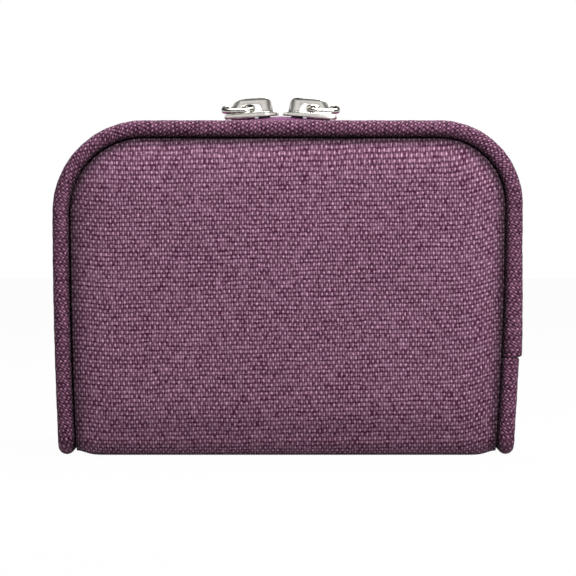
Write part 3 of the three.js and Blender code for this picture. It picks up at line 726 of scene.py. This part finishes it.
def make_tape(s, face):
    """Half of the zip's tape: from the seam under the piping it turns out and rises to the middle,
    where the two halves meet over the closed chain. Its section is a smooth line through control
    points, each an outward distance and a distance towards the face, and the middle ones lie at
    shares of the climb. The chain is highest where the sliders meet and falls off evenly."""
    at, out, facing = rim_frames(s, RIM_STEP, s.spine_bend, face)
    seam = s.thickness / 2 - s.crown - s.seam_depth
    away = np.minimum(np.abs(at[:, 0] - PAIR_MIDDLE), s.chain_run)
    rise = s.piping + s.chain_rise - away * math.tan(CHAIN_SLOPE)
    turn_out = -s.piping + 0.3 * MM
    climb = rise - turn_out
    meeting = 0.03 * MM - seam
    one = np.ones_like(rise)
    controls = [
        (one * (-s.piping - 3.7 * MM), -0.75 * MM),
        (one * (-s.piping - 0.8 * MM), -0.75 * MM),
        (one * turn_out, -1.75 * MM),
        (turn_out + 0.45 * climb, -3.25 * MM),
        (turn_out + 0.85 * climb, -4.75 * MM),
        (rise - 0.01 * climb, -6.75 * MM),
        (rise, -8.4 * MM),
        (rise - 0.02 * MM, meeting),
    ]
    line = np.stack([np.stack([a, one * b], -1) for a, b in controls], 1)
    outer = smooth_line(line, TAPE_COLUMNS)
    along = np.gradient(outer, axis=1)
    along /= np.linalg.norm(along, axis=-1, keepdims=True)
    inner = outer + s.tape * np.stack([along[..., 1], -along[..., 0]], -1)
    points = carry((at, out, facing), np.concatenate([outer, inner[:, ::-1]], 1))
    run = run_length(at)[:, None]
    across = run_length(outer[len(outer) // 2])[None, :]
    sheet = np.stack(np.broadcast_arrays(run, across), -1)
    ring = np.concatenate([sheet, sheet[:, ::-1], sheet[:, :1]], 1)
    name = "front" if face < 0 else "back"
    piece = grid_piece("tape_" + name, points, ring)
    tint = tuple(colours().tape)
    material = bpy.data.materials.get("zip_tape_rib")
    if not material:
        dark = tuple(0.35 * value for value in tint)
        material = woven_material(
            "zip_tape_rib", tint, dark, 0.5 * MM, 0.62 * MM, waver=0.15, relief=0.16 * MM
        )
    return finish_piece(piece, material, BODY, "zip_tape", "zip_tape_" + name)


def make_slider(s, name):
    """The slider's casting: the frame's own solid with its flats joined and its edges rounded."""
    node = "slider_" + name
    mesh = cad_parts[node].data.copy()
    mesh.materials.clear()
    work = bmesh.new()
    work.from_mesh(mesh)
    bmesh.ops.remove_doubles(work, verts=work.verts, dist=JOIN_REACH)
    bmesh.ops.dissolve_limit(work, angle_limit=FLAT_ANGLE, verts=work.verts, edges=work.edges)
    work.to_mesh(mesh)
    work.free()
    piece = bpy.data.objects.new("casting_" + name, mesh)
    bpy.context.scene.collection.objects.link(piece)
    rounding = piece.modifiers.new("rounding", "BEVEL")
    rounding.width = s.edge_round
    rounding.segments = 3
    rounding.limit_method = "ANGLE"
    rounding.angle_limit = EDGE_ANGLE
    rounding.use_clamp_overlap = True
    mesh.shade_smooth()
    return finish_piece(piece, metal(), name + "_slider", "nickel", node)


def metal():
    """The one nickel material."""
    return bpy.data.materials.get("nickel_plate") or nickel_material()


def make_pull(s, name, sign):
    """The ring pull: round wire along a rounded rectangle, made of four quarter circles, between the
    two ends of the frame's own pull. It hangs loose in the bail, so its front side lies lower than
    its back side."""
    low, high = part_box("pull_" + name)
    radius = s.wire / 2
    pivot_x = high.x - radius if sign < 0 else low.x + radius
    far_x = low.x + radius if sign < 0 else high.x - radius
    half = (high.y - low.y) / 2 - radius
    length_x = abs(far_x - pivot_x)
    turn = np.linspace(0, math.pi / 2, RING_STEPS)
    outer_x, side_y = length_x - RING_CORNER, half - RING_CORNER
    centres = ((outer_x, side_y), (RING_CORNER, side_y), (RING_CORNER, -side_y), (outer_x, -side_y))
    loop = []
    for quarter, centre in enumerate(centres):
        angle = turn + quarter * math.pi / 2
        round_corner = np.stack([np.cos(angle), np.sin(angle)], 1)
        loop.append(np.array(centre) + RING_CORNER * round_corner)
    loop = np.concatenate(loop)
    drop = (high.z - low.z) - s.wire - s.ring_lift
    fall = loop[:, 0] / length_x
    roll = math.asin(s.ring_roll / (high.y - low.y))
    level = high.z - radius - drop * fall + loop[:, 1] * math.sin(roll)
    at = np.stack([pivot_x + sign * loop[:, 0], loop[:, 1] * math.cos(roll), level], 1)
    ahead = np.roll(at, -1, 0) - np.roll(at, 1, 0)
    ahead /= np.linalg.norm(ahead, axis=1, keepdims=True)
    tilt = math.atan2(drop, length_x)
    normal = np.array([sign * math.sin(tilt), -math.sin(roll), math.cos(tilt)])
    facing = np.tile(normal / np.linalg.norm(normal), (len(at), 1))
    out = np.cross(ahead, facing)
    count = WIRE_COLUMNS
    angle = 2 * math.pi * np.arange(count) / count
    section = radius * np.stack([np.cos(angle), np.sin(angle)], -1)
    points = carry((at, out, facing), section)
    along = run_length(at, closed=True)
    u = np.broadcast_to(along[:, None], (len(along), count + 1))
    v = np.broadcast_to(np.arange(count + 1) / count, u.shape)
    piece = grid_piece("ring_" + name, points, np.stack([u, v], -1), wrap_rows=True)
    return finish_piece(piece, metal(), name + "_pull", "nickel", "pull_" + name)


def dress_inner_parts():
    """Procedural finishes on the frame's own inner pieces."""
    c = colours()
    lining = hidden_cloth_material("lining_weave", tuple(c.lining), 0.3)
    foam = foam_material()
    cotton = hidden_cloth_material("cord_cotton", (0.8, 0.76, 0.68), 0.4)
    coil = hidden_cloth_material("coil_nylon", tuple(0.6 * value for value in c.tape), 0.7)
    finishes = {
        "cover_padding": foam,
        "piping_cord": cotton,
        "zip_coil_front": coil,
        "zip_coil_back": coil,
        "zip_stop_left": metal(),
        "zip_stop_right": metal(),
        "lining": lining,
        "card_pocket_back": lining,
        "card_pocket_middle": lining,
        "card_pocket_front": lining,
        "note_pocket": lining,
    }
    for name, material in finishes.items():
        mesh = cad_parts[name].data
        mesh.materials.clear()
        mesh.materials.append(material)


# Stage


def white_for_camera(n, plain, strength):
    """Mixes a plain shader with white for rays from the camera, and with less of it for rays
    from metal."""
    path = n.add("ShaderNodeLightPath").outputs
    seen = n.math("MAXIMUM", path["Is Camera Ray"], path["Is Transmission Ray"])
    seen = n.math("MAXIMUM", seen, n.math("MULTIPLY", path["Is Glossy Ray"], 0.6))
    white = n.add("ShaderNodeEmission")
    white.inputs["Strength"].default_value = 1
    mix = n.add("ShaderNodeMixShader")
    n.link(n.math("MULTIPLY", seen, strength), mix.inputs["Fac"])
    n.link(plain, mix.inputs[1])
    n.link(white.outputs[0], mix.inputs[2])
    return mix.outputs[0]


def make_floor():
    """A pale floor, white to the camera, that keeps the wallet's shadow."""
    mesh = bpy.data.meshes.new("floor")
    reach = 2.5
    corners = [(-reach, -reach, 0), (reach, -reach, 0), (reach, reach, 0), (-reach, reach, 0)]
    mesh.from_pydata(corners, [], [(0, 1, 2, 3)])
    floor = bpy.data.objects.new("floor", mesh)
    bpy.context.scene.collection.objects.link(floor)
    material = bpy.data.materials.new("pale_floor")
    material.use_nodes = True
    material.node_tree.nodes.clear()
    n = Nodes(material.node_tree)
    plain = n.add("ShaderNodeBsdfDiffuse")
    plain.inputs["Color"].default_value = (0.45, 0.45, 0.45, 1)
    target = n.add("ShaderNodeOutputMaterial")
    n.link(white_for_camera(n, plain.outputs[0], 0.97), target.inputs["Surface"])
    mesh.materials.append(material)


def make_world():
    """A world that is white to the camera and dim to cloth. Metal sees a pale horizon, a dark room
    above it and a half-bright ceiling."""
    world = bpy.data.worlds.new("studio")
    bpy.context.scene.world = world
    world.use_nodes = True
    world.node_tree.nodes.clear()
    n = Nodes(world.node_tree)
    path = n.add("ShaderNodeLightPath").outputs
    direction = n.add("ShaderNodeTexCoord").outputs["Generated"]
    split = n.add("ShaderNodeSeparateXYZ")
    n.link(direction, split.inputs[0])
    room = n.add("ShaderNodeValToRGB")
    stops = ((0.0, 1.0), (0.14, 0.95), (0.3, 0.03), (0.8, 0.04), (1.0, 0.5))
    ramp = room.color_ramp.elements
    while len(ramp) < len(stops):
        ramp.new(1)
    for stop, (place, value) in zip(ramp, stops):
        stop.position = place
        stop.color = (value, value, value, 1)
    n.link(split.outputs["Z"], room.inputs["Fac"])
    shown = n.mix(path["Is Glossy Ray"], (0.15, 0.15, 0.15), room.outputs["Color"])
    plain = n.math("MAXIMUM", path["Is Camera Ray"], path["Is Transmission Ray"])
    background = n.add("ShaderNodeBackground")
    n.link(n.mix(plain, shown, (1.0, 1.0, 1.0)), background.inputs["Color"])
    target = n.add("ShaderNodeOutputWorld")
    n.link(background.outputs[0], target.inputs["Surface"])


def make_lamps():
    """Soft square lamps turned to the wallet's middle: name, place, size and watts."""
    middle = Vector((0, 0, 42 * MM))
    lamps = (
        ("key", (0.13, -0.24, 0.48), 0.22, 4.2),
        ("fill", (0.5, -0.7, 0.12), 0.4, 0.5),
        ("back", (0.1, 0.4, 0.75), 0.45, 6.5),
    )
    for name, place, size, power in lamps:
        light = bpy.data.lights.new(name, "AREA")
        light.size = size
        light.energy = power
        lamp = bpy.data.objects.new(name, light)
        lamp.location = place
        lamp.rotation_euler = (middle - Vector(place)).to_track_quat("-Z", "Y").to_euler()
        bpy.context.scene.collection.objects.link(lamp)


def make_camera():
    """The camera at the photograph's angle, with a lens that takes in the photograph's width."""
    distance = 0.8
    elevation = math.radians(1.2)
    photo_width = 144 * MM
    target_point = Vector((0.1 * MM, -13 * MM, 42.2 * MM))
    data = bpy.data.cameras.new("camera")
    data.lens = data.sensor_width * distance / photo_width
    camera = bpy.data.objects.new("camera", data)
    away = Vector((0, -math.cos(elevation), math.sin(elevation))) * distance
    camera.location = target_point + away
    camera.rotation_euler = (-away).to_track_quat("-Z", "Y").to_euler()
    bpy.context.scene.collection.objects.link(camera)
    bpy.context.scene.camera = camera
    bpy.context.scene.view_settings.view_transform = "Standard"


# Operators and panel


class WALLET_OT_stage(bpy.types.Operator):
    """Set up floor, lamps and camera"""

    bl_idname = "wallet.stage"
    bl_label = "Stage"

    def execute(self, context):
        make_floor()
        make_world()
        make_lamps()
        make_camera()
        return {"FINISHED"}


class WALLET_OT_cover(bpy.types.Operator):
    """Make the woven cover of front, spine and back"""

    bl_idname = "wallet.cover"
    bl_label = "Cover"

    def execute(self, context):
        make_cover(sizes())
        return {"FINISHED"}


class WALLET_OT_piping(bpy.types.Operator):
    """Make the piping with its lapped ends"""

    bl_idname = "wallet.piping"
    bl_label = "Piping"

    def execute(self, context):
        make_piping(sizes())
        return {"FINISHED"}


class WALLET_OT_tapes(bpy.types.Operator):
    """Make both halves of the zip tape"""

    bl_idname = "wallet.tapes"
    bl_label = "Zip tapes"

    def execute(self, context):
        for face in (-1, 1):
            make_tape(sizes(), face)
        return {"FINISHED"}


class WALLET_OT_sliders(bpy.types.Operator):
    """Make the two cast sliders"""

    bl_idname = "wallet.sliders"
    bl_label = "Sliders"

    def execute(self, context):
        for name in ("left", "right"):
            make_slider(sizes(), name)
        return {"FINISHED"}


class WALLET_OT_pulls(bpy.types.Operator):
    """Make the two ring pulls"""

    bl_idname = "wallet.pulls"
    bl_label = "Pulls"

    def execute(self, context):
        for name, sign in (("left", -1), ("right", 1)):
            make_pull(sizes(), name, sign)
        return {"FINISHED"}


class WALLET_OT_inner_parts(bpy.types.Operator):
    """Finish the pieces inside"""

    bl_idname = "wallet.inner_parts"
    bl_label = "Inner parts"

    def execute(self, context):
        dress_inner_parts()
        return {"FINISHED"}


OPERATORS = (
    WALLET_OT_stage,
    WALLET_OT_cover,
    WALLET_OT_piping,
    WALLET_OT_tapes,
    WALLET_OT_sliders,
    WALLET_OT_pulls,
    WALLET_OT_inner_parts,
)


class WALLET_PT_panel(bpy.types.Panel):
    """Lists the steps that build the wallet"""

    bl_idname = "WALLET_PT_panel"
    bl_label = "Wallet"
    bl_space_type = "VIEW_3D"
    bl_region_type = "UI"
    bl_category = "Wallet"

    def draw(self, context):
        for operator in OPERATORS:
            self.layout.operator(operator.bl_idname)


CLASSES = (WalletSizes, WalletColours, *OPERATORS, WALLET_PT_panel)


def register():
    """Adds the wallet's classes and settings."""
    for item in CLASSES:
        bpy.utils.register_class(item)
    bpy.types.Scene.wallet_sizes = PointerProperty(type=WalletSizes)
    bpy.types.Scene.wallet_colours = PointerProperty(type=WalletColours)


def unregister():
    """Takes them out again."""
    del bpy.types.Scene.wallet_colours
    del bpy.types.Scene.wallet_sizes
    for item in reversed(CLASSES):
        bpy.utils.unregister_class(item)


def main():
    """Builds every piece and the stage."""
    register()
    bpy.ops.wallet.stage()
    bpy.ops.wallet.cover()
    bpy.ops.wallet.piping()
    bpy.ops.wallet.tapes()
    bpy.ops.wallet.sliders()
    bpy.ops.wallet.pulls()
    bpy.ops.wallet.inner_parts()


if __name__ == "__main__":
    main()
